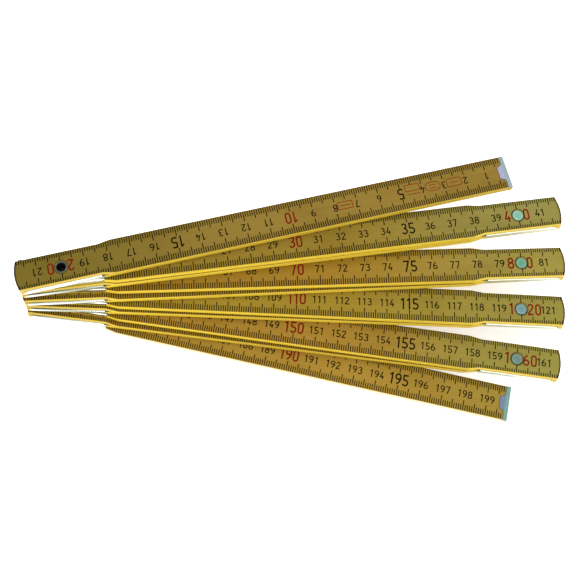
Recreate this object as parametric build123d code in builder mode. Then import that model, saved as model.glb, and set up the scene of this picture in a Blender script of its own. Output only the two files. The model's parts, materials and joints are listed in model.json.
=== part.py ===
"""Folding rule: ten wooden slats, 200 mm between pivots, on nine riveted steel joints.

The rule lies on its last slat with its joints partly open, so the slats make a narrow fan.
+Z is up, +X runs along the fan, and the origin is the middle of the footprint, at the bottom.
Slats are numbered from the top, and a joint is named after the centimetre mark it turns on.
"""
from build123d import *
from math import atan, cos, degrees, radians, sin
import os

os.makedirs("parts", exist_ok=True)

# ---------------------------------------------------------------- driving dimensions, mm
SLAT_COUNT = 10
SLAT_WIDTH = 15.5
SLAT_THICK = 3.3
PIVOT_SPACING = 200.0
TIP_RADIUS = 19.6        # the round end of a slat, centred on its pivot
LEVEL_GAP = 0.1          # air between one slat and the next
EDGE_ROUND = 0.3         # long edges of the wood

FIRST_HEADING = 13.5     # degrees, slat 1 against +X
JOINT_OPENING = (5.8, 0.15, 5.75, 0.8, 5.55, 0.45, 6.05, 0.75, 5.5)  # degrees from folded

NECK_BACK = 6.75         # half width of the wood beside a joint, at the back
NECK_FRONT = 6.35        # and at the front, where the steel is folded round it
LOWER_FRONT = 6.6        # half width at the front of the lower slat and its plate
NECK_END = 16.5          # where the neck and the taper end, from the pivot inwards
TAPER_END = 22.5
SEAT_TIP = 16.8          # the steel reaches this far past the pivot
SEAT_END = 17.0          # and this far inwards

STEEL_THICK = 0.6        # joint channel and joint plate, the same pressing turned over
FLANGE_THICK = 0.65
BEND_ROUND = 0.45        # outside of the channel's bend
FLANGE_CORNER = 1.1
LIP_HEIGHT = 0.6         # sloping wood left beyond a flange's edge
DETENT_WIDTH = 1.6       # shallow grooves that the joint clicks into
DETENT_LENGTH = 6.0
DETENT_PLACE = 9.0
DETENT_DEPTH = 0.2

SHANK_RADIUS = 2.2       # tubular rivet
TUBE_BORE = 1.85
TUBE_FLOOR = 0.6
RIM_RADIUS = 2.6
RIM_THICK = 0.4
RIM_ROUND = 0.17
HEAD_RADIUS = 2.45
HEAD_THICK = 0.6
END_SINK = 0.06          # both ends of a rivet lie a little below the wood
AXIAL_PLAY = 0.05
SEAT_FIT = 0.02          # radial, where a slat holds its rivet
RUNNING_FIT = 0.06       # radial, where the next slat turns on it
HEAD_RING = 0.28         # ring of shadow around a head

CAP_WALL = 0.45          # steel cap on each end of the rule
CAP_LEAF = 0.4
CAP_STRIP = 1.9
CAP_TAB_END = 4.2
CAP_TAB_BASE = 7.6
CAP_TAB_TIP = 5.2
CAP_TAB_ROUND = 0.8
CAP_EDGE_ROUND = 0.15
CAP_GROOVE = 0.2         # gap around a leaf in the wood

# ---------------------------------------------------------------- worked out from them
LEVEL = SLAT_THICK + LEVEL_GAP
JOINT_COUNT = SLAT_COUNT - 1
HALF_WIDTH = SLAT_WIDTH / 2
SEAT_LENGTH = SEAT_TIP + SEAT_END
FLANGE_INSIDE = HALF_WIDTH - FLANGE_THICK
FLANGE_HEIGHT = SLAT_THICK - LIP_HEIGHT
LIP_ANGLE = degrees(atan((FLANGE_INSIDE - NECK_FRONT) / LIP_HEIGHT))
RIVET_LENGTH = LEVEL + SLAT_THICK - 2 * END_SINK
BEYOND = 4.0             # how far a cutter reaches outside the wood
LEFT_MIDDLE = (Align.MIN, Align.CENTER)
LEFT_LOW = (Align.MIN, Align.MIN)


def direction(heading):
    """Unit vector in the XY plane."""
    return Vector(cos(radians(heading)), sin(radians(heading)), 0)


# Each joint at the left turns the next slat clockwise, each joint at the right turns it back.
headings = [FIRST_HEADING]
for joint, opening in enumerate(JOINT_OPENING):
    turn = -opening if joint % 2 == 0 else opening
    headings.append(headings[-1] + turn)

# Joint 0 is the 20 cm mark, on the left. The slats run to and fro between the pivots.
pivots = [Vector(0, 0, 0)]
for joint in range(1, JOINT_COUNT):
    way = 1 if joint % 2 == 1 else -1
    pivots.append(pivots[-1] + direction(headings[joint]) * (way * PIVOT_SPACING))

# The footprint reaches from the round tips at the left to those at the right, and from the
# back corner of the first slat to the front corner of the last.
left_edge = min(pivot.X for pivot in pivots[0::2]) - TIP_RADIUS
right_edge = max(pivot.X for pivot in pivots[1::2]) + TIP_RADIUS
first_end = pivots[0] + direction(headings[0]) * PIVOT_SPACING
last_end = pivots[-1] + direction(headings[-1]) * PIVOT_SPACING
back_corner = first_end + direction(headings[0] + 90) * HALF_WIDTH
front_corner = last_end - direction(headings[-1] + 90) * HALF_WIDTH
footprint_middle = Vector((left_edge + right_edge) / 2, (back_corner.Y + front_corner.Y) / 2, 0)
pivots = [pivot - footprint_middle for pivot in pivots]


# ---------------------------------------------------------------- where things are
def top_of(slat):
    """Height of the top face of slat 0 to 9, where 0 is the top one."""
    return (SLAT_COUNT - 1 - slat) * LEVEL + SLAT_THICK


def slat_plane(slat):
    """Top face of a slat: origin on its left pivot, x along the slat to the right."""
    pivot = pivots[slat - slat % 2]
    return Plane(origin=(pivot.X, pivot.Y, top_of(slat)), x_dir=direction(headings[slat]), z_dir=(0, 0, 1))


def end_plane(slat, joint):
    """Top face of a slat at one of its pivots, x towards the middle of the slat."""
    inwards = direction(headings[slat]) * (1 if joint % 2 == 0 else -1)
    pivot = pivots[joint]
    return Plane(origin=(pivot.X, pivot.Y, top_of(slat)), x_dir=inwards, z_dir=(0, 0, 1))


def steel_plane(slat, joint):
    """The face that a slat's steel leaves bare at a joint: the top above it, the bottom below it."""
    plane = end_plane(slat, joint)
    if slat == joint:
        return plane
    bare = plane.offset(-SLAT_THICK)
    return Plane(origin=bare.origin, x_dir=bare.x_dir, z_dir=(0, 0, -1))


def cap_plane(slat):
    """Top face of the first or last slat at its free end, x towards the middle of the slat."""
    along = slat_plane(slat)
    return Plane(origin=along.from_local_coords((PIVOT_SPACING, 0, 0)), x_dir=-along.x_dir, z_dir=(0, 0, 1))


def rivet_plane(joint):
    """Outer face of a rivet's head, z towards its tube. Heads are below at the left, above at the right."""
    top = end_plane(joint, joint)
    if joint % 2 == 0:
        return top.offset(-END_SINK - RIVET_LENGTH)
    head_up = top.offset(-END_SINK)
    return Plane(origin=head_up.origin, x_dir=head_up.x_dir, z_dir=(0, 0, -1))


# ---------------------------------------------------------------- shapes that cut the wood
def front_side(plane):
    """The sign of a plane's local y at the front of the rule, where Y is lowest."""
    return 1 if plane.y_dir.Y < 0 else -1


def neck_relief(plane, side, half_neck):
    """The region in plan that narrows one side of a slat to its neck and tapers it out again."""
    slope = (HALF_WIDTH - half_neck) / (TAPER_END - NECK_END)
    outline = [
        (-TIP_RADIUS - BEYOND, half_neck),
        (NECK_END, half_neck),
        (TAPER_END + BEYOND, HALF_WIDTH + slope * BEYOND),
        (TAPER_END + BEYOND, HALF_WIDTH + 2 * BEYOND),
        (-TIP_RADIUS - BEYOND, HALF_WIDTH + 2 * BEYOND),
    ]
    with BuildSketch(plane) as relief:
        with BuildLine():
            Polyline(*[(x, side * y) for x, y in outline], close=True)
        make_face()
    return relief.sketch


def channel_form(plane, outer, grow):
    """The joint steel's outline: a base on the far face of the slat and a flange round its front.

    outer is how far the flange's outside is from the middle line.
    """
    front = front_side(plane)
    width, inside = NECK_BACK + outer, outer - FLANGE_THICK
    start = plane.from_local_coords((-SEAT_TIP, 0, 0))
    section = Plane(origin=start, x_dir=plane.y_dir * front, z_dir=plane.x_dir * front)
    with BuildPart() as form:
        with BuildSketch(section):
            with Locations((-NECK_BACK - grow, -SLAT_THICK - grow)):
                Rectangle(width + 2 * grow, FLANGE_HEIGHT + grow, align=LEFT_LOW)
            with Locations((-NECK_BACK - grow, -SLAT_THICK + STEEL_THICK)):
                Rectangle(NECK_BACK + grow + inside, SLAT_THICK, align=LEFT_LOW, mode=Mode.SUBTRACT)
        extrude(amount=front * SEAT_LENGTH)
        across = form.edges().filter_by(Axis(plane.origin, plane.y_dir))
        fillet(across.group_by(Axis(plane.origin, plane.z_dir))[-1], FLANGE_CORNER)
    return form.part


def bent_steel(plane, outer, bore):
    """The pressing itself: the outline with a round bend and a hole for the rivet."""
    with BuildPart() as steel:
        add(channel_form(plane, outer, 0))
        along = steel.edges().filter_by(Axis(plane.origin, plane.x_dir))
        fillet(along.group_by(Axis(plane.origin, plane.z_dir))[0], BEND_ROUND)
        with BuildSketch(plane):
            Circle(bore)
        extrude(amount=-SLAT_THICK, mode=Mode.SUBTRACT)
    return steel.part


def rivet_space(joint, side, fit):
    """What a rivet needs in a slat: the bore, and the seat of its head or its rim."""
    plane = rivet_plane(joint)
    rim_seat = RIM_RADIUS + (SEAT_FIT if side == "upper" else HEAD_RING)
    with BuildPart() as space:
        with BuildSketch(plane.offset(-BEYOND)):
            Circle(SHANK_RADIUS + fit)
        extrude(amount=RIVET_LENGTH + 2 * BEYOND)
        with BuildSketch(plane.offset(-END_SINK - BEYOND)):
            Circle(HEAD_RADIUS + HEAD_RING)
        extrude(amount=BEYOND + END_SINK + HEAD_THICK + AXIAL_PLAY)
        with BuildSketch(plane.offset(RIVET_LENGTH + END_SINK + BEYOND)):
            Circle(rim_seat)
        extrude(amount=-(BEYOND + END_SINK + RIM_THICK + AXIAL_PLAY))
    return space.part


def joint_cut(slat, joint):
    """Room for a joint in a slat: a straight back, a narrower front, the steel and the rivet.

    The upper slat keeps a sloping lip above its flange. The lower slat is set in all the way down.
    """
    plane = steel_plane(slat, joint)
    front = front_side(plane)
    upper = slat == joint
    with BuildPart() as cut:
        if upper:
            extrude(neck_relief(plane, front, NECK_FRONT), amount=-LIP_HEIGHT, taper=LIP_ANGLE)
            add(channel_form(plane, HALF_WIDTH, BEYOND))
            add(rivet_space(joint, "upper", SEAT_FIT))
        else:
            extrude(neck_relief(plane, front, LOWER_FRONT), amount=-SLAT_THICK)
            add(channel_form(plane, LOWER_FRONT, BEYOND))
            add(rivet_space(joint, "lower", RUNNING_FIT))
        extrude(neck_relief(plane, -front, NECK_BACK), amount=-SLAT_THICK)
    return cut.part


def leaf_outline(plane):
    """Leaf of an end cap: a strip across the end with a waisted tab in its middle."""
    with BuildSketch(plane) as leaf:
        Rectangle(CAP_STRIP, SLAT_WIDTH, align=LEFT_MIDDLE)
        with BuildLine():
            Polyline(
                (0, -CAP_TAB_BASE / 2),
                (CAP_STRIP, -CAP_TAB_BASE / 2),
                (CAP_TAB_END, -CAP_TAB_TIP / 2),
                (CAP_TAB_END, CAP_TAB_TIP / 2),
                (CAP_STRIP, CAP_TAB_BASE / 2),
                (0, CAP_TAB_BASE / 2),
                close=True,
            )
        make_face()
        inner = leaf.vertices().group_by(Axis.X)[1:]
        tab = [vertex for group in inner for vertex in group if abs(vertex.Y) < CAP_TAB_BASE]
        fillet(tab, CAP_TAB_ROUND)
    return leaf.sketch


def cap_cut(slat):
    """Room for an end cap: the end wall, and a leaf let into each face."""
    plane = cap_plane(slat)
    with BuildPart() as cut:
        for face, depth in ((plane, -CAP_LEAF), (plane.offset(-SLAT_THICK), CAP_LEAF)):
            with BuildSketch(face):
                add(leaf_outline(Plane.XY))
                offset(amount=CAP_GROOVE)
            extrude(amount=depth)
        with BuildSketch(plane):
            Rectangle(CAP_WALL, SLAT_WIDTH + BEYOND, align=LEFT_MIDDLE)
        extrude(amount=-SLAT_THICK)
    return cut.part


# ---------------------------------------------------------------- the pieces
def make_slat(slat):
    """One wooden slat. It hangs from the joint above by its neck, and carries the next joint."""
    plane = slat_plane(slat)
    free_end = slat in (0, SLAT_COUNT - 1)
    pivot_places = [(0, 0)] if free_end else [(0, 0), (PIVOT_SPACING, 0)]
    with BuildPart() as wood:
        with BuildSketch(plane):
            Rectangle(PIVOT_SPACING, SLAT_WIDTH, align=LEFT_MIDDLE)
            with Locations(*pivot_places):
                Circle(TIP_RADIUS)
            with Locations((PIVOT_SPACING / 2, 0)):
                Rectangle(2 * PIVOT_SPACING, SLAT_WIDTH, mode=Mode.INTERSECT)
        extrude(amount=-SLAT_THICK)
        fillet(wood.edges().filter_by(Axis(plane.origin, plane.x_dir)), EDGE_ROUND)
        if slat < SLAT_COUNT - 1:
            add(joint_cut(slat, slat), mode=Mode.SUBTRACT)
        if slat > 0:
            add(joint_cut(slat, slat - 1), mode=Mode.SUBTRACT)
        if free_end:
            add(cap_cut(slat), mode=Mode.SUBTRACT)
    return wood.part


def make_channel(joint):
    """Steel channel under the end of the upper slat, with the rivet's hole."""
    return bent_steel(steel_plane(joint, joint), HALF_WIDTH, SHANK_RADIUS + SEAT_FIT)


def make_plate(joint):
    """Steel plate over the end of the lower slat, with two grooves that the joint clicks into."""
    with BuildPart() as plate:
        add(bent_steel(steel_plane(joint + 1, joint), LOWER_FRONT, SHANK_RADIUS + RUNNING_FIT))
        with BuildSketch(end_plane(joint + 1, joint)):
            with Locations((-DETENT_PLACE, 0), (DETENT_PLACE, 0)):
                SlotOverall(DETENT_LENGTH, DETENT_WIDTH)
        extrude(amount=-DETENT_DEPTH, mode=Mode.SUBTRACT)
    return plate.part


def make_rivet(joint):
    """Tubular rivet: a flat head at one end, and a tube turned over into a rim at the other."""
    plane = rivet_plane(joint)
    with BuildPart() as rivet:
        with BuildSketch(plane):
            Circle(HEAD_RADIUS)
        extrude(amount=HEAD_THICK)
        with BuildSketch(plane):
            Circle(SHANK_RADIUS)
        extrude(amount=RIVET_LENGTH)
        with BuildSketch(plane.offset(RIVET_LENGTH)):
            Circle(RIM_RADIUS)
        extrude(amount=-RIM_THICK)
        with BuildSketch(plane.offset(HEAD_THICK + TUBE_FLOOR)):
            Circle(TUBE_BORE)
        extrude(amount=RIVET_LENGTH, mode=Mode.SUBTRACT)
        outer_rings = rivet.edges().filter_by(GeomType.CIRCLE).group_by(Axis.Z)
        fillet(outer_rings[0] + outer_rings[-1], RIM_ROUND)
    return rivet.part


def make_cap(slat):
    """Steel cap folded over the free end of the rule, its outer face on the end mark."""
    plane = cap_plane(slat)
    with BuildPart() as cap:
        with BuildSketch(plane):
            Rectangle(CAP_WALL, SLAT_WIDTH, align=LEFT_MIDDLE)
        extrude(amount=-SLAT_THICK)
        for face, depth in ((plane, -CAP_LEAF), (plane.offset(-SLAT_THICK), CAP_LEAF)):
            with BuildSketch(face):
                add(leaf_outline(Plane.XY))
            extrude(amount=depth)
        folds = cap.edges().filter_by(Axis(plane.origin, plane.y_dir))
        fillet(folds.sort_by(Axis(plane.origin, plane.x_dir))[:2], CAP_EDGE_ROUND)
    return cap.part


# ---------------------------------------------------------------- build and write
pieces = {}
for slat in range(SLAT_COUNT):
    pieces[f"slat_{slat + 1:02d}"] = make_slat(slat)
for joint in range(JOINT_COUNT):
    mark = f"{20 * (joint + 1):03d}"
    pieces[f"joint_channel_{mark}"] = make_channel(joint)
    pieces[f"joint_plate_{mark}"] = make_plate(joint)
    pieces[f"joint_rivet_{mark}"] = make_rivet(joint)
pieces["end_cap_000"] = make_cap(0)
pieces["end_cap_200"] = make_cap(SLAT_COUNT - 1)

for name, piece in pieces.items():
    piece.label = name
    export_step(piece, f"parts/{name}.step")

print(len(pieces), "pieces, pivots at", [(round(pivot.X, 3), round(pivot.Y, 3)) for pivot in pivots])
print("headings", [round(heading, 3) for heading in headings])
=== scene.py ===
# %% [markdown]
# # A two-metre folding rule
# The rule is ten wooden slats on nine riveted steel joints, opened to a narrow fan. The solid
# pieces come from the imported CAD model, which is loaded first and never moved. Blender adds what
# the eye reads first: the yellow lacquer, the printed scale, the zinc and the light.

# %% Load the frame and keep its box
import json
from math import cos, radians, sin

import bpy
from mathutils import Matrix, Vector


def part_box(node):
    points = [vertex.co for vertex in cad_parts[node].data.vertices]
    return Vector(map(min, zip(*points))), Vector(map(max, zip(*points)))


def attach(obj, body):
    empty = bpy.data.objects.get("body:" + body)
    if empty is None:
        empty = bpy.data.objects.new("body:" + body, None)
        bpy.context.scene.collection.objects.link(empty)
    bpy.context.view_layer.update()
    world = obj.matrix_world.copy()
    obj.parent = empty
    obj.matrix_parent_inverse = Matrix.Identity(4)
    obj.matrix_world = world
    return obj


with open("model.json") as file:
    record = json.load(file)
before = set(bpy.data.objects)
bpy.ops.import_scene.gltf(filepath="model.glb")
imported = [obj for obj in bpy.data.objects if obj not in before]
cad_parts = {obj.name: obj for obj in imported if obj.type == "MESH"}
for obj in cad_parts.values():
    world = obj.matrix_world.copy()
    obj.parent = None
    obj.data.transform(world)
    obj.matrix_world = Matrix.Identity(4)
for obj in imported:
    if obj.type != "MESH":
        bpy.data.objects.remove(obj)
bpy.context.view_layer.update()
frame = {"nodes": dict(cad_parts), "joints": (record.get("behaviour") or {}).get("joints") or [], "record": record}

MM = 0.001
UP = Vector((0, 0, 1))

# %% [markdown]
# ## The camera
# The rule is seen from above and a little from the front, from about 40 cm away. A camera is
# easiest to place by four plain facts: where it stands, its heading, how far it looks down and
# how far it is rolled. Its turn is then built from its own right, up and back directions.

# %% Place the camera
CAMERA_PLACE = Vector((-19.135, -126.298, 383.74)) * MM
HEADING = radians(7.475)        # from +Y towards +X
DOWNWARD = radians(71.013)
ROLL = radians(7.306)
LENS, SENSOR_WIDTH = 54.415, 36.0       # mm
CLIP_START = 0.01                       # m

ahead = Vector((sin(HEADING) * cos(DOWNWARD), cos(HEADING) * cos(DOWNWARD), -sin(DOWNWARD)))
level_right = Vector((cos(HEADING), -sin(HEADING), 0))
level_up = level_right.cross(ahead)
right = level_right * cos(ROLL) + level_up * sin(ROLL)
up = level_up * cos(ROLL) - level_right * sin(ROLL)
turn = Matrix((right, up, -ahead)).transposed().to_euler()
bpy.ops.object.camera_add(location=CAMERA_PLACE, rotation=turn)
camera = bpy.context.object
camera.data.lens = LENS
camera.data.sensor_width = SENSOR_WIDTH
camera.data.clip_start = CLIP_START
bpy.context.scene.camera = camera
bpy.context.scene.view_settings.view_transform = "Standard"
print("camera is", round(CAMERA_PLACE.length, 3), "m from the middle of the footprint")

# %% [markdown]
# ## Small helpers for node materials
# Every finish below is a few nodes wired together. These helpers add one node each and hand back
# its output, so that a material reads like a recipe. A value goes straight into a socket, and
# another node's output is linked to it.


# %% Helpers that add nodes
def feed(tree, socket, value):
    """Puts a plain value in a socket, or links another socket to it."""
    if isinstance(value, bpy.types.NodeSocket):
        tree.links.new(value, socket)
    else:
        socket.default_value = value


def add_node(tree, kind, inputs=(), **settings):
    node = tree.nodes.new(kind)
    for name, value in settings.items():
        setattr(node, name, value)
    for key, value in dict(inputs).items():
        feed(tree, node.inputs[key], value)
    return node


def mix(tree, share, first, second, way="MIX"):
    sockets = {0: share, 6: first, 7: second}
    node = add_node(tree, "ShaderNodeMix", sockets, data_type="RGBA", blend_type=way)
    return node.outputs[2]


def noise(tree, place, stretch, detail=2.0, seed=0.0):
    """Cloudy noise from 0 to 1. stretch is how many clouds there are per unit along x, y and z."""
    scaled = add_node(tree, "ShaderNodeVectorMath", {0: place, 1: stretch}, operation="MULTIPLY")
    sockets = {"Vector": scaled.outputs[0], "W": seed, "Scale": 1.0, "Detail": detail}
    return add_node(tree, "ShaderNodeTexNoise", sockets, noise_dimensions="4D").outputs["Fac"]


def new_material(name, metallic=0.0, **constants):
    """A material whose shader has only plain constants so far. Returns it, its tree and shader."""
    material = bpy.data.materials.new(name)
    material.use_nodes = True
    tree = material.node_tree
    shader = tree.nodes["Principled BSDF"]
    shader.inputs["Metallic"].default_value = metallic
    for socket, value in constants.items():
        shader.inputs[socket.replace("_", " ")].default_value = value
    return material, tree, shader


def give(piece, material):
    """Makes this the only material of a piece."""
    piece.data.materials.clear()
    piece.data.materials.append(material)


# %% [markdown]
# ## The floor
# A plain pale floor keeps the attention on the rule. It is one wide plane, just below the last
# slat, in a matt near-white that varies so little that it reads as paper. It glows faintly, so
# that it stays pale right up to the rule and the shadows on it stay soft.

# %% Lay the floor
FLOOR_SIZE, FLOOR_DROP = 6.0, 0.02 * MM     # the drop keeps the floor clear of the last slat
FLOOR_GLOW = 0.55

bpy.ops.mesh.primitive_plane_add(size=FLOOR_SIZE, location=(0, 0, -FLOOR_DROP))
floor = bpy.context.object
floor.name = "studio_floor"
floor_paint, tree, shader = new_material("pale_floor", Roughness=0.9, Specular_IOR_Level=0.1,
                                         Emission_Strength=FLOOR_GLOW)
place = add_node(tree, "ShaderNodeTexCoord").outputs["Object"]
patches = noise(tree, place, (3.0, 3.0, 3.0))
pale = mix(tree, patches, (0.90, 0.90, 0.90, 1), (0.93, 0.93, 0.93, 1))
feed(tree, shader.inputs["Base Color"], pale)
feed(tree, shader.inputs["Emission Color"], pale)
give(floor, floor_paint)
print("the floor is", FLOOR_SIZE, "m wide")

# %% [markdown]
# ## The light
# Soft light comes from all sides. The world is a large even sky, one wide lamp stands in front so
# that the edges of the slats read brighter than their faces, and a second hangs overhead. A lamp
# shines along its own -Z, so to_track_quat turns its Z away from the rule.

# %% Light the sky and hang the lamps
SKY = 1.1
sky = bpy.data.worlds.new("soft_sky")
sky.use_nodes = True
sky.node_tree.nodes["Background"].inputs["Color"].default_value = (1, 1, 1, 1)
sky.node_tree.nodes["Background"].inputs["Strength"].default_value = SKY
bpy.context.scene.world = sky


def hang_lamp(name, place, size, power):
    """A square lamp that faces the middle of the rule."""
    turn = Vector(place).to_track_quat("Z", "Y").to_euler()
    bpy.ops.object.light_add(type="AREA", location=place, rotation=turn)
    lamp = bpy.context.object
    lamp.name = name
    lamp.data.size = size
    lamp.data.energy = power


LAMPS = (("front_lamp", (-0.25, -1.1, 0.75), 0.9, 9.0),     # name, place, size in m, power in W
         ("top_lamp", (0.3, 0.35, 1.3), 1.2, 7.0))
for lamp_values in LAMPS:
    hang_lamp(*lamp_values)
print("sky", SKY, "and", len(LAMPS), "lamps")

# %% [markdown]
# ## Where each slat lies
# The scale on a slat runs from its low mark to its high mark, 200 mm apart. Both are known from
# the frame: a joint turns on each 20 cm mark, and the ends of the rule are mount faces. From these
# two points comes a slat's own frame, with x along the growing marks and z up from its top face.

# %% Work out a frame for every slat
SLATS = range(1, 11)
JOINT_STEP = 20                 # cm of scale from one joint to the next
SPACING = 200.0                 # the same in mm, between a slat's low and high marks

marks = {int(joint["name"][-3:]): Vector(joint["pos_m"]) for joint in frame["joints"]}
for mount in frame["record"]["mounts"]:
    if mount["name"] == "zero_end_face":
        marks[0] = Vector(mount["pos_m"])
    if mount["name"] == "far_end_face":
        marks[200] = Vector(mount["pos_m"])

slat_place = {}
for slat in SLATS:
    low, high = marks[JOINT_STEP * (slat - 1)], marks[JOINT_STEP * slat]
    way = Vector((high.x - low.x, high.y - low.y, 0)).normalized()
    origin = Vector((low.x, low.y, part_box(f"slat_{slat:02d}")[1].z))
    axes = Matrix((way, UP.cross(way), UP)).transposed()
    slat_place[slat] = Matrix.Translation(origin) @ axes.to_4x4()
headings = {slat: place.to_euler().z for slat, place in slat_place.items()}
FRONT = {slat: 1 if slat % 2 else -1 for slat in SLATS}     # the sign of y on the front side
print("slat 1 heads", round(headings[1], 3), "rad, slat 10", round(headings[10], 3), "rad")

# %% [markdown]
# ## Yellow lacquer on wood
# The slats are hardwood under a yellow lacquer. Their faces are painted a darker olive than the bright
# long edges: this is painted shade on the same yellow, as the faces take less of the front light. Bare
# wood shows paler on the sloping lips beside a joint, and dirt gathers round the tips. Painted shade
# darkens a ring round each rivet and the floors of the grooves, and the faces are darker along the
# back. One group makes all of this from a slat's own millimetres, so each slat's material only states
# its place, its colours and its seed. Each kind of dirt or painted shade is a mask from 0 to 1, which
# mixes a dark tone in. The helpers here do the sums for such masks, and build and place a group.


# %% Helpers for masks
def calc(tree, operation, *values):
    return add_node(tree, "ShaderNodeMath", enumerate(values), operation=operation).outputs[0]


def ease(tree, value, low, high):
    """0 below low, 1 above high, and smooth between."""
    sockets = {"Value": value, "From Min": low, "From Max": high}
    return add_node(tree, "ShaderNodeMapRange", sockets, interpolation_type="SMOOTHSTEP").outputs[0]


def without(tree, mask):
    """The opposite of a mask."""
    return calc(tree, "SUBTRACT", 1.0, mask)


def colour(hexa):
    """A screen colour such as 'd9bb38' as the linear colour that shaders take."""
    parts = [int(hexa[i:i + 2], 16) / 255 for i in (0, 2, 4)]
    return tuple(p / 12.92 if p <= 0.04045 else ((p + 0.055) / 1.055) ** 2.4 for p in parts) + (1,)


# %% [markdown]
# A group is built once, with named inputs and outputs, and placed in each material with its own
# values. Its pattern reads Object coordinates through a Mapping node that turns them to a slat's
# own length, since the slats lie at different headings while their objects all sit at the origin.


# %% Helpers for groups
def new_group(name, inputs, outputs):
    """A shader node group with named sockets. Returns its tree, and its inputs by name."""
    tree = bpy.data.node_groups.new(name, "ShaderNodeTree")
    for direction, sockets in (("INPUT", inputs), ("OUTPUT", outputs)):
        for title, kind in sockets.items():
            tree.interface.new_socket(title, in_out=direction, socket_type="NodeSocket" + kind)
    entry = tree.nodes.new("NodeGroupInput")
    return tree, entry.outputs, tree.nodes.new("NodeGroupOutput").inputs


def own_place(tree, origin, heading):
    """Object coordinates in millimetres, from a slat's own origin and along its own length."""
    coordinates = add_node(tree, "ShaderNodeTexCoord").outputs["Object"]
    sockets = {"Vector": coordinates, "Location": origin, "Rotation": (0, 0, heading),
               "Scale": (MM, MM, MM)}
    return add_node(tree, "ShaderNodeMapping", sockets, vector_type="TEXTURE").outputs[0]


def use_group(tree, shader, group, inputs, depth=0.0):
    """Places a group and wires it to the shader. depth is its relief in metres."""
    node = add_node(tree, "ShaderNodeGroup", node_tree=group)
    for name, value in inputs.items():
        feed(tree, node.inputs[name], value)
    feed(tree, shader.inputs["Base Color"], node.outputs["Color"])
    feed(tree, shader.inputs["Roughness"], node.outputs["Roughness"])
    if depth:
        sockets = {"Height": node.outputs["Relief"], "Distance": depth}
        bump = add_node(tree, "ShaderNodeBump", sockets)
        feed(tree, shader.inputs["Normal"], bump.outputs[0])
    return node


# %% [markdown]
# Three noises carry the wood: long grain, fine pores and slow patina. The way a surface tilts
# tells the faces from the long edges.

# %% Start the lacquer group
lacquer, given, result = new_group(
    "lacquered_wood",
    {"Place": "Vector", "Low Face": "Color", "High Face": "Color", "Edge": "Color", "Back": "Float",
     "Seed": "Float"},
    {"Color": "Color", "Roughness": "Float", "Relief": "Float"},
)
spot = add_node(lacquer, "ShaderNodeSeparateXYZ", {0: given["Place"]}).outputs
grain = noise(lacquer, given["Place"], (0.05, 1.3, 1.3), 4.0, given["Seed"])
pores = noise(lacquer, given["Place"], (0.35, 6.0, 6.0), 2.0, given["Seed"])
patina = noise(lacquer, given["Place"], (0.035, 0.12, 0.12), 3.0, given["Seed"])

normal = add_node(lacquer, "ShaderNodeTexCoord").outputs["Normal"]
tilt = add_node(lacquer, "ShaderNodeSeparateXYZ", {0: normal}).outputs[2]
level = calc(lacquer, "ABSOLUTE", tilt)
print("the lacquer reads", len(given) - 1, "inputs")

# %% [markdown]
# A mask is where something lies: past a pivot, at a distance from it, or between two heights. The
# two numbers of each name below are where its mask starts and where it is full, in millimetres
# unless a comment says otherwise.

# %% Mask the dirt, the painted shade and the bare wood
FACE_LEVEL = (0.80, 0.97)       # how level the flat faces are, from the normal's z
SLOPE_LEVEL = (0.25, 0.5)       # the same for the sloping lips
TIP_LINE = (18.5, 19.2)         # from the pivot: dirt along the round tip
TIP_FROM = (10.0, 12.0)         # past the pivot: where the tip's line begins
RING_RADIUS = 2.95              # the middle of the painted shade round a rivet
RING_FADE = (0.05, 0.35)        # from the ring's own middle
BACK_RIM = (7.1, 7.5)           # from the middle line towards the back
GROOVE_BED = (-1.2, -1.0)       # heights between which a groove's floor lies, painted dark as shade
GROOVE_LIP = (-0.3, -0.15)
EAR_FROM = (15.5, 16.5)         # past the pivot: the ledge of a tip
TIP_BARE = (15.5, 17.0)         # past the pivot: the worn edge of a tip


face = ease(lacquer, level, *FACE_LEVEL)
slope = ease(lacquer, level, *SLOPE_LEVEL)
from_middle = calc(lacquer, "ABSOLUTE", calc(lacquer, "SUBTRACT", spot[0], SPACING / 2))
past_pivot = calc(lacquer, "SUBTRACT", from_middle, SPACING / 2)
from_pivot = calc(lacquer, "SQRT", calc(lacquer, "ADD", calc(lacquer, "POWER", past_pivot, 2.0),
                                        calc(lacquer, "POWER", spot[1], 2.0)))
tip_line = calc(lacquer, "MULTIPLY", ease(lacquer, from_pivot, *TIP_LINE),
                ease(lacquer, past_pivot, *TIP_FROM))
off_ring = calc(lacquer, "ABSOLUTE", calc(lacquer, "SUBTRACT", from_pivot, RING_RADIUS))
# Painted shade in a ring round each rivet.
ring_shade = without(lacquer, ease(lacquer, off_ring, *RING_FADE))
# A darker strip along the back edge of each face.
rim = ease(lacquer, calc(lacquer, "MULTIPLY", spot[1], given["Back"]), *BACK_RIM)
below_top = without(lacquer, ease(lacquer, spot[2], *GROOVE_LIP))
# Painted shade on the floors of the grooves and recesses below the face.
groove_shade = calc(lacquer, "MULTIPLY", ease(lacquer, spot[2], *GROOVE_BED), below_top)
ear = calc(lacquer, "MULTIPLY", ease(lacquer, past_pivot, *EAR_FROM), below_top)
bare = calc(lacquer, "MAXIMUM", calc(lacquer, "MULTIPLY", slope, 0.6),
            ease(lacquer, past_pivot, *TIP_BARE))
print("the masks took", len(lacquer.nodes), "nodes")

# %% [markdown]
# The face starts from the blend of its two end colours and is multiplied by patina and grain. Each
# mask then mixes in its own dark tone, at a strength below 1 so that some of the lacquer stays visible:
# dirt along the tips, a darker back edge, and painted shade in the rivet rings and the grooves.

# %% Colour the face and the edge
FACE_DRIFT = (110.0, 214.0)     # mm from the low mark: where the low colour becomes the high one
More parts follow.
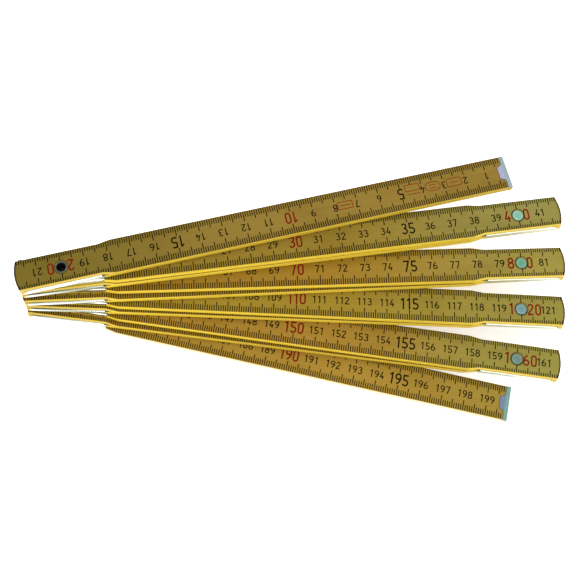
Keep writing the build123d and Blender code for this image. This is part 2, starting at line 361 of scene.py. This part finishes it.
# Each dark tone: a darker back edge, dirt along the tip, painted shade round the rivet and in the grooves.
DIRT_AND_SHADE = ((rim, 0.6, "4a3812"), (tip_line, 0.85, "2c1610"), (ring_shade, 0.75, "241f14"),
        (groove_shade, 0.85, "1c170c"))
BARE_WOOD = "c0a450"

towards_high = ease(lacquer, spot[0], *FACE_DRIFT)
face_tone = mix(lacquer, towards_high, given["Low Face"], given["High Face"])
face_tone = mix(lacquer, ease(lacquer, patina, 0.45, 0.75), face_tone, (0.86, 0.83, 0.70, 1),
                "MULTIPLY")
face_tone = mix(lacquer, ease(lacquer, grain, 0.35, 0.7), face_tone, (1.08, 1.07, 1.05, 1),
                "MULTIPLY")
for mask, strength, tone in DIRT_AND_SHADE:
    face_tone = mix(lacquer, calc(lacquer, "MULTIPLY", mask, strength), face_tone, colour(tone))
edge_tone = mix(lacquer, ease(lacquer, grain, 0.3, 0.75), given["Edge"], (0.84, 0.78, 0.7, 1),
                "MULTIPLY")
edge_tone = mix(lacquer, bare, edge_tone, colour(BARE_WOOD))
is_face = calc(lacquer, "MULTIPLY", face, without(lacquer, ear))

feed(lacquer, result["Color"], mix(lacquer, is_face, edge_tone, face_tone))
feed(lacquer, result["Roughness"], calc(lacquer, "MULTIPLY_ADD", patina, 0.3, 0.3))
feed(lacquer, result["Relief"], calc(lacquer, "MULTIPLY_ADD", pores, 0.6, grain))
print("lacquer group has", len(lacquer.nodes), "nodes")

# %% [markdown]
# Each slat has its own pair of face colours, from its low mark to its high mark. Besides the lacquer's
# own tone they hold painted shade and painted reflection, as each slat lies at its own height in the
# stack and takes its own light.

# %% Lacquer the slats
# Face colours at the low and high mark: the lacquer with painted shade and painted reflection in it.
SHADED_FACES = {1: ("776124", "61531a"), 2: ("77621d", "787137"), 3: ("80651c", "7d611c"),
         4: ("82641b", "807433"), 5: ("806820", "7d631c"), 6: ("826c1e", "7b7130"),
         7: ("806820", "7d631c"), 8: ("866720", "7a7332"), 9: ("80651c", "7d611c"),
         10: ("8a6d24", "826d27")}
EDGES = {1: "bea231", 9: "c8ac34", 10: "d4c4a0"}
COMMON_EDGE = "d0b435"          # on the slats that EDGES doesn't list
GRAIN_DEPTH = 0.04 * MM

for slat in SLATS:
    wood, tree, shader = new_material(f"yellow_lacquer_{slat:02d}", Coat_Weight=0.03,
                                      Coat_Roughness=0.25, Specular_IOR_Level=0.05)
    low_face, high_face = (colour(tone) for tone in SHADED_FACES[slat])
    use_group(tree, shader, lacquer, {
        "Place": own_place(tree, slat_place[slat].translation, headings[slat]),
        "Low Face": low_face, "High Face": high_face,
        "Edge": colour(EDGES.get(slat, COMMON_EDGE)),
        "Back": FRONT[slat] * -1.0, "Seed": 3.7 * slat}, depth=GRAIN_DEPTH)
    give(frame["nodes"][f"slat_{slat:02d}"], wood)
print("lacquered", len(SLATS), "slats")

# %% [markdown]
# ## Zinc on the joints
# Each joint is a channel under one slat and a plate over the next, pressed from strip steel and
# zinc plated. Rolling leaves fine lines along the strip, so the roughness and the shine change
# across it and hardly along it. The folded fronts shine, while the sliding tops and the lower edges
# are painted dark green as painted reflection of the slats and the bench, and the level bed beside a
# folded front is painted dark as painted shade.

# %% Build the zinc group
FOOT_FADE = 0.25                # mm over which the painted reflection on the lower edge fades upwards
PLATE_LEVEL = (0.9, 0.98)       # how level a top is, from the normal's z
SHADED_BED = (7.2, 7.35)              # mm from the middle line: where the painted shade on the bed of a bar ends
TOP_FROM = (-0.4, -0.3)         # mm below the slat's face: where the painted reflection on a sliding top begins

zinc, given, result = new_group(
    "rolled_zinc",
    {"Place": "Vector", "Bright": "Color", "Dull": "Color", "Top": "Color", "Foot": "Float"},
    {"Color": "Color", "Roughness": "Float", "Relief": "Float"})
lines = noise(zinc, given["Place"], (0.06, 2.5, 2.5), 2.0)
clouds = noise(zinc, given["Place"], (0.25, 0.5, 0.5), 3.0, 4.0)
spot = add_node(zinc, "ShaderNodeSeparateXYZ", {0: given["Place"]}).outputs
height, across = spot[2], calc(zinc, "ABSOLUTE", spot[1])
rolled = calc(zinc, "MULTIPLY_ADD", lines, 0.5, calc(zinc, "MULTIPLY", clouds, 0.5))
shine = mix(zinc, ease(zinc, rolled, 0.4, 0.7), given["Bright"], given["Dull"])
foot_end = calc(zinc, "ADD", given["Foot"], FOOT_FADE)
foot_reflection = without(zinc, ease(zinc, height, given["Foot"], foot_end))
# Painted reflection of the bench: dark green along the lower edge.
shine = mix(zinc, calc(zinc, "MULTIPLY", foot_reflection, 0.85), shine, colour("4f6a48"))
normal = add_node(zinc, "ShaderNodeTexCoord").outputs["Normal"]
tilt = add_node(zinc, "ShaderNodeSeparateXYZ", {0: normal}).outputs[2]
level = ease(zinc, tilt, *PLATE_LEVEL)
# Painted shade on the level bed beside a folded front.
bed_shade = calc(zinc, "MULTIPLY", level, without(zinc, ease(zinc, across, *SHADED_BED)))
shine = mix(zinc, calc(zinc, "MULTIPLY", bed_shade, 0.9), shine, colour("2a3426"))
# Painted reflection of the slat above on a sliding top, dark green.
top = calc(zinc, "MULTIPLY", level, ease(zinc, height, *TOP_FROM))
feed(zinc, result["Color"], mix(zinc, top, shine, given["Top"]))
feed(zinc, result["Roughness"], calc(zinc, "MULTIPLY_ADD", lines, 0.25, 0.12))
feed(zinc, result["Relief"], lines)
print("zinc group has", len(zinc.nodes), "nodes")

# %% [markdown]
# The left joints face the front lamp and look almost white, while the right joints look greyer, so
# the two sides have their own pair of shines. A slat has the channel of its high mark's joint and
# the plate of its low mark's joint, except that the first has no plate and the last no channel.

# %% Plate the joints
TOP_REFLECTION = "5f7462"
LEFT_SHINE = ("e6eae4", "cfd8ce")
RIGHT_SHINE = ("c3c8b4", "a3ab96")
FOOT = {"channel": -2.9, "plate": -2.3}       # mm, the lower edge that carries the painted reflection of the bench
LINE_DEPTH = 0.004 * MM

plated = 0
for slat in SLATS:
    for kind, joint in (("channel", slat), ("plate", slat - 1)):
        mark = JOINT_STEP * joint
        node = f"joint_{kind}_{mark:03d}"
        if node not in frame["nodes"]:
            continue
        bright, dull = LEFT_SHINE if joint % 2 else RIGHT_SHINE
        steel, tree, shader = new_material(f"{kind}_zinc_{mark:03d}", metallic=1.0)
        use_group(tree, shader, zinc, {
            "Place": own_place(tree, slat_place[slat].translation, headings[slat]),
            "Bright": colour(bright), "Dull": colour(dull), "Top": colour(TOP_REFLECTION),
            "Foot": FOOT[kind]}, depth=LINE_DEPTH)
        give(frame["nodes"][node], steel)
        plated += 1
print("plated", plated, "joint pieces")

# %% [markdown]
# ## Tinted rivets and end caps
# The rivets and the two end caps are passivated: a film on the zinc shifts them between green,
# blue and violet. The film is a blend of two colours, steered by a slow noise and a gradient. On a
# rivet the gradient runs from the middle to the rim, and on a cap it runs from the end inwards.

# %% Build the film group
film, given, result = new_group(
    "passive_film",
    {"Place": "Vector", "Gradient": "Float", "Near": "Color", "Far": "Color", "Seed": "Float"},
    {"Color": "Color", "Roughness": "Float", "Relief": "Float"})
drift = noise(film, given["Place"], (0.45, 0.45, 0.45), 3.0, given["Seed"])
scuffs = noise(film, given["Place"], (1.2, 5.0, 5.0), 3.0, given["Seed"])
share = calc(film, "ADD", given["Gradient"], calc(film, "MULTIPLY_ADD", drift, 0.9, -0.45))
tinted = mix(film, ease(film, share, 0.1, 0.9), given["Near"], given["Far"])
feed(film, result["Color"], mix(film, ease(film, scuffs, 0.6, 0.8), tinted, (0.72, 0.76, 0.76, 1)))
feed(film, result["Roughness"], calc(film, "MULTIPLY_ADD", scuffs, 0.3, 0.2))
feed(film, result["Relief"], scuffs)
print("film group has", len(film.nodes), "nodes")

# %% [markdown]
# Four rivets show their head and five show the open end of their tube. A rivet's radius comes from
# its own millimetres with the theorem of Pythagoras, and it drives the gradient on a head and the
# painted shade in the mouth of a tube.

# %% Tint the rivets
HEADS = {40: ("5c856f", "698e7a"), 80: ("497257", "557b66"), 120: ("4f696c", "597273"),
         160: ("4a5f55", "54675e")}
TUBE = ("5a5f58", "4c524a")     # the rivets that show their open end
# Painted shade for the deep bore of a tube, nearly black.
BORE_SHADE = (0.02, 0.022, 0.02, 1)
HEAD_TINT = (0.5, 2.6)          # mm from a rivet's axis: near colour to far colour
BORE_EDGE = 2.15                # mm from the axis, where the painted shade in the mouth of the tube ends
BORE_TOP = 0.1                  # mm above the slat's face
SCUFF_DEPTH = 0.015 * MM

for slat in SLATS[:-1]:
    mark = JOINT_STEP * slat
    rivet, tree, shader = new_material(f"rivet_film_{mark:03d}", metallic=0.85)
    axis_place = own_place(tree, slat_place[slat] @ Vector((SPACING * MM, 0, 0)), headings[slat])
    spot = add_node(tree, "ShaderNodeSeparateXYZ", {0: axis_place}).outputs
    radius = calc(tree, "SQRT", calc(tree, "ADD", calc(tree, "POWER", spot[0], 2.0),
                                     calc(tree, "POWER", spot[1], 2.0)))
    near, far = HEADS.get(mark, TUBE)
    film_node = use_group(tree, shader, film, {
        "Place": axis_place, "Gradient": ease(tree, radius, *HEAD_TINT),
        "Near": colour(near), "Far": colour(far), "Seed": 1.3 * slat}, depth=SCUFF_DEPTH)
    if mark not in HEADS:       # tube upwards: the bore is painted dark as shade
        inside = calc(tree, "MULTIPLY", calc(tree, "LESS_THAN", radius, BORE_EDGE),
                      calc(tree, "LESS_THAN", spot[2], BORE_TOP))
        bore_shaded = mix(tree, inside, film_node.outputs["Color"], BORE_SHADE)
        feed(tree, shader.inputs["Base Color"], bore_shaded)
    give(frame["nodes"][f"joint_rivet_{mark:03d}"], rivet)
print("tinted", len(SLATS) - 1, "rivets")

# %% [markdown]
# A cap is blue-green along its folded end and violet on its leaf. The gradient is the distance
# from the end of the rule, read from the slat's own millimetres.

# %% Tint the end caps
CAP_TINT = (1.4, 2.4)           # mm from the end of the rule: near colour to far colour

for node, slat, end, near, far in (("end_cap_000", 1, 0.0, "6e7b80", "7b7a94"),
                                   ("end_cap_200", 10, SPACING, "55756c", "515d72")):
    cap, tree, shader = new_material(f"{node}_film", metallic=0.8)
    cap_place = own_place(tree, slat_place[slat] @ Vector((end * MM, 0, 0)), headings[slat])
    inwards = calc(tree, "ABSOLUTE", add_node(
        tree, "ShaderNodeSeparateXYZ", {0: cap_place}).outputs[0])
    use_group(tree, shader, film, {
        "Place": cap_place, "Gradient": ease(tree, inwards, *CAP_TINT),
        "Near": colour(near), "Far": colour(far), "Seed": 0.7 * slat}, depth=SCUFF_DEPTH)
    give(frame["nodes"][node], cap)
print("tinted both end caps")

# %% [markdown]
# ## The printed lines
# A tick for every millimetre is printed along both edges, longer at 5 mm and longest at 10 mm. The
# lines and figures are thin pieces of ink, not part of the slat's material, so their edges stay
# sharp and each can have its own finish. An operator acts on whatever is selected, so the first
# helpers here select one piece, or some of its corners, and nothing else.

# %% Helpers that select
def clear_selection():
    bpy.ops.object.select_all(action="DESELECT")


def only(piece):
    """Selects one piece and makes it active."""
    clear_selection()
    piece.select_set(True)
    bpy.context.view_layer.objects.active = piece
    return piece


def pick_vertices(piece, wanted):
    """Goes into edit mode with only the wanted vertices selected."""
    only(piece)
    bpy.ops.object.mode_set(mode="EDIT")
    bpy.ops.mesh.select_all(action="DESELECT")
    bpy.ops.object.mode_set(mode="OBJECT")
    for vertex in piece.data.vertices:
        vertex.select = wanted(vertex.co)
    bpy.ops.object.mode_set(mode="EDIT")


# %% [markdown]
# What repeats is modelled once. These helpers repeat it in a row with an Array modifier, or copy it
# with its own mesh. A finished piece keeps its place in its mesh and its object at the origin.


# %% Helpers that repeat, copy and place
def apply_array(piece, count, step):
    array = only(piece).modifiers.new("repeat", "ARRAY")
    array.count = count
    array.use_relative_offset = False
    array.use_constant_offset = True
    array.constant_offset_displace = step
    bpy.ops.object.modifier_apply(modifier=array.name)


def copy_of(piece, name):
    """A copy with its own mesh."""
    twin = piece.copy()
    twin.data = piece.data.copy()
    twin.name = twin.data.name = name
    bpy.context.scene.collection.objects.link(twin)
    return twin


def settle(piece, place=None):
    """Puts a piece in place and leaves the place in its mesh."""
    if place is not None:
        piece.matrix_world = place
    only(piece)
    bpy.ops.object.transform_apply(location=True, rotation=True, scale=True)


def remove(piece):
    bpy.data.objects.remove(piece)


# %% [markdown]
# One tick is a thin box of ink. An Array modifier makes ten of them, two are lengthened in edit
# mode, and a Mirror modifier repeats them on the other edge. That gives one centimetre of scale.

# %% Model one centimetre of scale
INK_SINK, INK_TOP = 0.01, 0.015      # mm that the ink reaches below and above the face
TICK_WIDE = 0.42
TICK_OUT, TICK_IN = 7.45, 4.8        # mm from the middle line to a tick's two ends
TICK_MIDDLE = (TICK_OUT + TICK_IN) / 2
LONGER_5, LONGER_10 = 1.4, 1.9       # how much further in the 5 and 10 mm ticks reach
TICKS = 10                           # millimetres to a centimetre

clear_selection()
bpy.ops.mesh.primitive_cube_add(
    size=1.0, location=Vector((1.0, TICK_MIDDLE, (INK_TOP - INK_SINK) / 2)) * MM)
centimetre = bpy.context.object
centimetre.scale = Vector((TICK_WIDE, TICK_OUT - TICK_IN, INK_TOP + INK_SINK)) * MM
settle(centimetre)
apply_array(centimetre, TICKS, (MM, 0, 0))
for mark, longer in ((5, LONGER_5), (10, LONGER_10)):
    pick_vertices(centimetre, lambda corner: round(corner.x / MM) == mark
                  and corner.y / MM < TICK_MIDDLE)
    bpy.ops.transform.translate(value=(0, -longer * MM, 0))
    bpy.ops.object.mode_set(mode="OBJECT")
mirror = centimetre.modifiers.new("other_edge", "MIRROR")
mirror.use_axis = (False, True, False)
mirror.use_clip = mirror.use_mirror_merge = False
bpy.ops.object.modifier_apply(modifier=mirror.name)
print("one centimetre has", len(centimetre.data.polygons), "faces")

# %% [markdown]
# A second Array turns the centimetre into a whole slat. The print starts where the plate or the
# end cap ends, and at a joint's upper slat it runs on to the round tip. Ticks outside that stretch
# are deleted, and the outer ends of the rest are drawn in to the edge of the wood, which is
# narrower at the front of a joint than at its back.

# %% Model the lines of every kind of slat
NECK_BACK = 6.73                     # mm, half widths of the wood beside a joint, less a little
LOW_FRONT, HIGH_FRONT = 6.58, 6.33
NECK_END, TAPER_SLOPE = 16.5, 0.165  # mm from the pivot to where the wood widens, and how fast
PLATE_END, CAP_LEAF_END = 17.2, 2.2  # mm from a mark to where its plate or its cap ends
TIP_REACH = 18.2                     # mm of print past the pivot of an upper slat
CENTIMETRES = 22                     # enough to reach past the high mark's tip


def half_width(x, at_front, low_joint, high_joint):
    """Half the printable width at x mm from the low mark, for one side of a slat."""
    low_neck, high_neck = (LOW_FRONT, HIGH_FRONT) if at_front else (NECK_BACK, NECK_BACK)
    halves = [TICK_OUT]
    if low_joint:
        halves.append(low_neck + TAPER_SLOPE * max(x - NECK_END, 0.0))
    if high_joint:
        halves.append(high_neck + TAPER_SLOPE * max(SPACING - x - NECK_END, 0.0))
    return min(halves)


def model_lines(name, front, low_joint=True, high_joint=True):
    """The lines of one slat. front is the sign of y at its front."""
    start = PLATE_END if low_joint else CAP_LEAF_END
    stop = SPACING + (TIP_REACH if high_joint else -CAP_LEAF_END)
    lines = copy_of(centimetre, name)
    apply_array(lines, CENTIMETRES, (TICKS * MM, 0, 0))
    for vertex in lines.data.vertices:
        x = round(vertex.co.x / MM)
        half = half_width(x, vertex.co.y * front > 0, low_joint, high_joint) * MM
        vertex.co.y = max(-half, min(half, vertex.co.y))
    pick_vertices(lines, lambda corner: not start < round(corner.x / MM) < stop)
    bpy.ops.mesh.delete(type="VERT")
    bpy.ops.mesh.select_all(action="SELECT")
    bpy.ops.mesh.normals_make_consistent(inside=False)
    bpy.ops.object.mode_set(mode="OBJECT")
    return lines


patterns = {
    "first": model_lines("first_lines", 1, low_joint=False),
    "odd": model_lines("odd_lines", 1),
    "even": model_lines("even_lines", -1),
    "last": model_lines("last_lines", -1, high_joint=False),
}
remove(centimetre)
print("a middle slat has", len(patterns["odd"].data.polygons), "tick faces")

# %% [markdown]
# ## Ink
# The print is stamped ink that wear has thinned. A group lets a little of the lacquer's yellow
# through in spots, and the lines, the two number inks and the stamps use it with their own colours.

# %% Mix the inks
worn, given, result = new_group(
    "worn_ink", {"Ink": "Color", "Thin": "Color", "Wear": "Float"},
    {"Color": "Color", "Roughness": "Float"})
place = add_node(worn, "ShaderNodeTexCoord").outputs["Object"]
spots = noise(worn, place, (1400.0, 1400.0, 1400.0), 3.0)
fading = noise(worn, place, (60.0, 60.0, 60.0), 2.0, 5.0)
rubbed = calc(worn, "MULTIPLY_ADD", spots, 0.6, calc(worn, "MULTIPLY", fading, 0.4))
thinness = calc(worn, "MULTIPLY", given["Wear"], ease(worn, rubbed, 0.4, 0.65))
feed(worn, result["Color"], mix(worn, thinness, given["Ink"], given["Thin"]))
feed(worn, result["Roughness"], calc(worn, "MULTIPLY_ADD", spots, 0.2, 0.4))


def mix_ink(name, ink, thin, wear):
    material, tree, shader = new_material(name, Specular_IOR_Level=0.0)
    use_group(tree, shader, worn, {"Ink": colour(ink), "Thin": colour(thin), "Wear": wear})
    return material


line_ink = mix_ink("line_ink", "0c0903", "2c230b", 0.5)
black_ink = mix_ink("black_ink", "0e0b05", "2a220e", 0.5)
red_ink = mix_ink("red_ink", "620a0a", "742414", 0.5)
stamp_ink = mix_ink("stamp_ink", "701606", "6e3212", 0.4)
print("mixed four inks")

# %% [markdown]
# Each slat gets its own copy of the pattern that fits it. The copy is moved by the slat's frame,
# the move is applied to its mesh, and the piece then rides on the slat's body.

# %% Print the lines
for slat in SLATS:
    kind = {1: "first", 10: "last"}.get(slat, "odd" if slat % 2 else "even")
    lines = copy_of(patterns[kind], f"scale_lines_{slat:02d}")
    settle(lines, slat_place[slat])
    give(lines, line_ink)
    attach(lines, f"leg_{slat:02d}")
for pattern in patterns.values():
    remove(pattern)
print("printed the lines of", len(SLATS), "slats")

# %% [markdown]
# ## Drawing the figures
# The figures are plain engraver's numerals of one stroke width. Each is drawn as a pen would: a
# short edge, the nib, is extruded along straight runs and spun round the centre of each bend. A
# figure is one unit high, so the small and the large numbers share it.

# %% Model the nib
STROKE = 0.135                  # of a figure's height
BEND_STEP = 15.0                # degrees of bend to a face
MERGE_GAP = 0.001               # corners closer than this become one

clear_selection()
bpy.ops.mesh.primitive_plane_add(size=STROKE, location=(-STROKE / 2, 0, 0))
nib = bpy.context.object
bpy.ops.object.transform_apply(location=True)
pick_vertices(nib, lambda corner: corner.x < -STROKE / 2)
bpy.ops.mesh.delete(type="VERT")
bpy.ops.object.mode_set(mode="OBJECT")
print("the nib has", len(nib.data.vertices), "corners")

# %% [markdown]
# A stroke starts at a point with a heading, then follows its moves. A straight move is one extrude
# and a bend is one spin. The spin operator turns the other way round the z axis than Blender's
# matrices do, so its angle is negated. Where a closed ring meets itself, the doubles are merged.


# %% A helper that draws one stroke
def draw_stroke(start, heading, moves):
    """One stroke. A move is a length, or a bend's (radius, degrees), to the left if positive."""
    stroke = copy_of(nib, "stroke")
    settle(stroke, Matrix.Translation((*start, 0)) @ Matrix.Rotation(radians(heading), 4, "Z"))
    pen = Vector((*start, 0))
    bpy.ops.object.mode_set(mode="EDIT")
    bpy.ops.mesh.select_all(action="SELECT")
    for move in moves:
        ahead = Vector((cos(radians(heading)), sin(radians(heading)), 0))
        if isinstance(move, tuple):
            radius, degrees = move
            side = 1 if degrees > 0 else -1
            centre = pen + UP.cross(ahead) * radius * side
            steps = max(2, round(abs(degrees) / BEND_STEP))
            bpy.ops.mesh.spin(steps=steps, angle=-radians(degrees), center=centre, axis=UP,
                              use_auto_merge=False)
            pen = centre + Matrix.Rotation(radians(degrees), 3, "Z") @ (pen - centre)
            heading += degrees
        else:
            bpy.ops.mesh.extrude_region_move(TRANSFORM_OT_translate={"value": ahead * move})
            pen = pen + ahead * move
    bpy.ops.mesh.select_all(action="SELECT")
    bpy.ops.mesh.remove_doubles(threshold=MERGE_GAP)
    bpy.ops.object.mode_set(mode="OBJECT")
    return stroke


# %% [markdown]
# Every stroke below is (start, heading in degrees, moves), in figure heights from the middle of
# the figure. A nine is a six turned half round.

# %% List the strokes of the ten figures
REACH = 0.5 - STROKE / 2        # middle to the centre line of the top and bottom runs
HALF = 0.2                      # middle to the centre line of a side
WIDE, WIDE_FROM = 0.535, -0.2675        # a straight run over the whole width, and its start

loop = [2 * (REACH - HALF), (HALF, 180), 2 * (REACH - HALF), (HALF, 180)]
six = [((0.22, -0.2125), 90, [(0.22, 360)]), ((-0.22, -0.2125), 90, [0.09, (0.64, -60)])]
nine = [((-x, -y), heading + 180, moves) for (x, y), heading, moves in six]
FIGURES = {
    "0": [((HALF, HALF - REACH), 90, loop)],
    "1": [((0.06, -0.5), 90, [1.0]), ((0.06, 0.44), 217, [0.27])],
    "2": [((-HALF, REACH - HALF), 90, [(HALF, -215), 0.658]), ((WIDE_FROM, -REACH), 0, [WIDE])],
    "3": [((-0.172, 0.323), 65, [(0.19, -245)]), ((-0.03, 0.0225), 0, [0.03, (0.2275, -245)])],
    "4": [((0.06, 0.5), 248.6, [0.752]), ((WIDE_FROM, -0.2), 0, [WIDE]),
          ((0.1, 0.02), 270, [0.52])],
    "5": [((-0.22, REACH), 0, [0.45]), ((-0.155, 0.5), 268, [0.5]),
          ((-0.159, -0.022), 40, [(0.2325, -280)])],
    "6": six,
    "7": [((WIDE_FROM, REACH), 0, [WIDE]), ((0.2, REACH), 254.4, [0.968])],
    "8": [((0.195, 0.2375), 90, [(0.195, 360)]), ((0.2275, -0.205), 90, [(0.2275, 360)])],
    "9": nine,
}
print("strokes in all:", sum(len(strokes) for strokes in FIGURES.values()))

# %% [markdown]
# The flat strokes are extruded upwards to a film of ink. Where two strokes of a figure cross, the
# later one lies a hair higher, so that their tops don't fight for the same place.

# %% Draw the ten figures
SMALL_HEIGHT = 3.45             # mm, of a small figure. It scales the thickness of every print too
INK_THICK = (INK_SINK + INK_TOP) / SMALL_HEIGHT     # in figure heights
OVERLAP_RISE = 0.0006


def join_pieces(pieces, name):
    """Joins pieces to the first one and names it."""
    clear_selection()
    for piece in pieces:
        piece.select_set(True)
    bpy.context.view_layer.objects.active = pieces[0]
    if len(pieces) > 1:
        bpy.ops.object.join()
    pieces[0].name = pieces[0].data.name = name
    return pieces[0]


def draw(name, strokes):
    """Draws strokes, thickens them to a film of ink and joins them to one piece."""
    drawn = []
    for order, stroke in enumerate(strokes):
        piece = draw_stroke(*stroke)
        only(piece)
        bpy.ops.object.mode_set(mode="EDIT")
        bpy.ops.mesh.select_all(action="SELECT")
        rise = INK_THICK + order * OVERLAP_RISE
        bpy.ops.mesh.extrude_region_move(TRANSFORM_OT_translate={"value": (0, 0, rise)})
        bpy.ops.mesh.select_all(action="SELECT")
        bpy.ops.mesh.normals_make_consistent(inside=False)
        bpy.ops.object.mode_set(mode="OBJECT")
        drawn.append(piece)
    return join_pieces(drawn, name)


figures = {figure: draw(f"figure_{figure}", strokes) for figure, strokes in FIGURES.items()}
faces = sum(len(figure.data.polygons) for figure in figures.values())
print("drew", len(figures), "figures with", faces, "faces")

# %% [markdown]
# ## Printing the numbers
# Every centimetre has its number: small and black, large at every fifth, and large and red at
# every tenth. A number is centred on its mark. Where a rivet sits on the mark, the number is
# split to its two sides, and a three-figure neighbour moves along to make room.

# %% Print the numbers
SMALL = (3.55, SMALL_HEIGHT, 2.45, 2.25)    # mm: width scale, height, advance, advance of a 1
LARGE = (4.95, 5.3, 3.3, 2.7)
BEFORE_RIVET = {20: -4.2, 40: -4.8, 80: -4.9}       # mm from the mark to the first figure
AFTER_RIVET = {20: 4.4, 40: 3.8, 80: 3.6}           # mm from the mark to the second figure
COMMON_BEFORE, COMMON_AFTER = -4.5, 4.1             # at the other marks
RIVET_PITCH = 3.4               # mm between the figures after the rivet
CROWDED_SHIFT = 2.0             # mm that a three-figure neighbour moves along
FIRST_CLEAR = 2                 # the first centimetre of a slat past its plate
LAST_PRINTED = 21               # the centimetre on the round tip of an upper slat


def figures_of(number, x, size):
    """Where each figure of a number goes: (figure, x) pairs, centred on x."""
    text = str(number)
    advances = [size[3] if figure == "1" else size[2] for figure in text]
    edge = x - sum(advances) / 2
    places = []
    for figure, advance in zip(text, advances):
        places.append((figure, edge + advance / 2))
        edge += advance
    return places


def split_figures(number):
    """The same for the number that straddles the rivet at the high mark."""
    text = str(number)
    places = [(text[0], SPACING + BEFORE_RIVET.get(number, COMMON_BEFORE))]
    after = SPACING + AFTER_RIVET.get(number, COMMON_AFTER)
    for order, figure in enumerate(text[1:]):
        places.append((figure, after + order * RIVET_PITCH))
    return places


def print_figures(name, slat, placed, ink):
    """Copies, sizes and places the figures of one ink on one slat, and makes them one piece."""
    copies = []
    for figure, x, size in placed:
        twin = copy_of(figures[figure], "print")
        twin.matrix_world = slat_place[slat] @ Matrix.LocRotScale(
            Vector((x, 0, -INK_SINK)) * MM, None, Vector((size[0], size[1], SMALL_HEIGHT)) * MM)
        copies.append(twin)
    piece = join_pieces(copies, name)
    settle(piece)
    give(piece, ink)
    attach(piece, f"leg_{slat:02d}")


for slat in SLATS:
    black, red = [], []
    first = 1 if slat == 1 else FIRST_CLEAR
    last = JOINT_STEP - 1 if slat == 10 else LAST_PRINTED
    for centimetre in range(first, last + 1):
        number = JOINT_STEP * (slat - 1) + centimetre
        size = LARGE if number % 5 == 0 else SMALL
        x = 10.0 * centimetre
        if centimetre == JOINT_STEP:
            placed = split_figures(number)
        else:
            crowded = centimetre == LAST_PRINTED and number > 100
            placed = figures_of(number, x + (CROWDED_SHIFT if crowded else 0.0), size)
        (red if number % 10 == 0 else black).extend((figure, x, size) for figure, x in placed)
    print_figures(f"black_numbers_{slat:02d}", slat, black, black_ink)
    print_figures(f"red_numbers_{slat:02d}", slat, red, red_ink)
for figure in figures.values():
    remove(figure)
print("printed the numbers of", len(SLATS), "slats")

# %% [markdown]
# ## Stamps on the first slat
# Four faint red stamps stand between the numbers of the first slat. They are plain outlines here,
# without any lettering: two boxes, an oval and a box over a line. The same pen draws them, and
# one scale makes its stroke three tenths of a millimetre wide.

# %% Stamp the first slat
STAMP_SCALE = 2.3               # mm to one unit of the pen


def outline(x, y, length, height, corner):
    """A stroke round a box with round corners, centred on x, y. All in mm on the slat."""
    x, y, length, height, corner = (part / STAMP_SCALE for part in (x, y, length, height, corner))
    moves = [length - 2 * corner, (corner, 90), height - 2 * corner, (corner, 90)] * 2
    return (x + corner - length / 2, y - height / 2), 0, moves


def bar(x, y, length):
    """A straight stroke along the slat from x, y."""
    return (x / STAMP_SCALE, y / STAMP_SCALE), 0, [length / STAMP_SCALE]


stamps = draw("stamps_01", [
    outline(25.3, -0.5, 6.7, 3.8, 0.7), bar(23.2, -0.5, 4.2),
    outline(35.2, -0.6, 6.8, 4.0, 1.9), bar(33.6, -1.3, 3.2), bar(33.6, 0.1, 3.2),
    outline(44.4, -2.0, 6.6, 3.0, 0.3), bar(41.4, 1.1, 6.0),
    outline(75.5, -0.5, 6.6, 3.4, 0.3), bar(73.2, -0.5, 4.6),
])
sized = Vector((STAMP_SCALE, STAMP_SCALE, SMALL_HEIGHT)) * MM
settle(stamps, slat_place[1] @ Matrix.LocRotScale(Vector((0, 0, -INK_SINK)) * MM, None, sized))
give(stamps, stamp_ink)
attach(stamps, "leg_01")
remove(nib)
print("stamps have", len(stamps.data.polygons), "faces")
